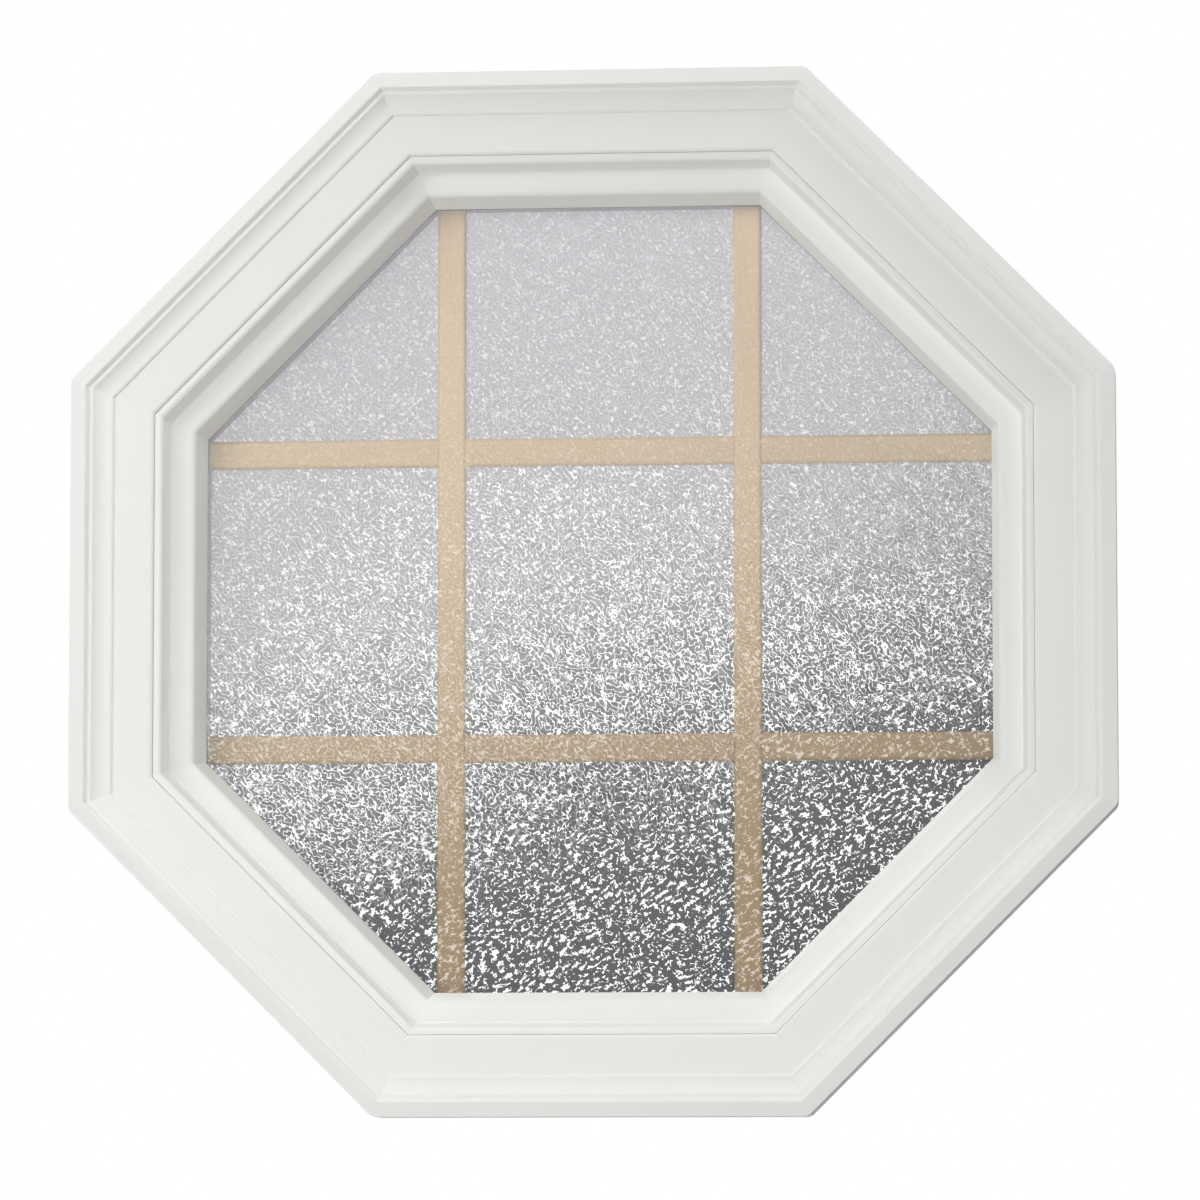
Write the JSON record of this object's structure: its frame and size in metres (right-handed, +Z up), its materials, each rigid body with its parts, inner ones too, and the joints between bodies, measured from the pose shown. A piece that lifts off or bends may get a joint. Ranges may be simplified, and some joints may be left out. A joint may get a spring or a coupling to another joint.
{
  "type": "octagon window",
  "caption": "Fixed octagon window with a stepped and coved casing, a deep jamb and obscure sealed glazing with a grille between its panes.",
  "frame": {"origin": "on the back of the bottom casing member, where it lies against the wall, in the middle of its length and width", "axes": "+Z up, +X to the right seen from outdoors, +Y into the wall towards the room"},
  "size_m": [0.6096, 0.1479, 0.6096],
  "materials": {
    "casing_plastic": "satin white, fine grain",
    "frame_plastic": "satin white, fine grain",
    "stop_plastic": "satin white",
    "patterned_glass": "rolled glass with a fine pattern, through which the grille shows",
    "obscure_glass": "obscure, with the same rolled pattern",
    "spacer_metal": "mill",
    "edge_sealant": "black sealant",
    "glazing_tape": "grey foam tape",
    "grille_paint": "tan baked paint",
    "clip_plastic": "tan moulded plastic",
    "block_rubber": "black rubber"
  },
  "bodies": {
    "root": {"casing_top": "casing_plastic", "frame_top": "frame_plastic", "stop_top": "stop_plastic", "casing_upper_right": "casing_plastic", "frame_upper_right": "frame_plastic", "stop_upper_right": "stop_plastic", "casing_right": "casing_plastic", "frame_right": "frame_plastic", "stop_right": "stop_plastic", "casing_lower_right": "casing_plastic", "frame_lower_right": "frame_plastic", "stop_lower_right": "stop_plastic", "casing_bottom": "casing_plastic", "frame_bottom": "frame_plastic", "stop_bottom": "stop_plastic", "casing_lower_left": "casing_plastic", "frame_lower_left": "frame_plastic", "stop_lower_left": "stop_plastic", "casing_left": "casing_plastic", "frame_left": "frame_plastic", "stop_left": "stop_plastic", "casing_upper_left": "casing_plastic", "frame_upper_left": "frame_plastic", "stop_upper_left": "stop_plastic", "outer_pane": "patterned_glass", "inner_pane": "obscure_glass", "spacer": "spacer_metal", "edge_seal": "edge_sealant", "outer_tape": "glazing_tape", "inner_tape": "glazing_tape", "grille_upright_left": "grille_paint", "grille_upright_right": "grille_paint", "grille_upper_left": "grille_paint", "grille_upper_middle": "grille_paint", "grille_upper_right": "grille_paint", "grille_lower_left": "grille_paint", "grille_lower_middle": "grille_paint", "grille_lower_right": "grille_paint", "grille_clips": "clip_plastic", "setting_blocks": "block_rubber"}
  },
  "joints": []
}
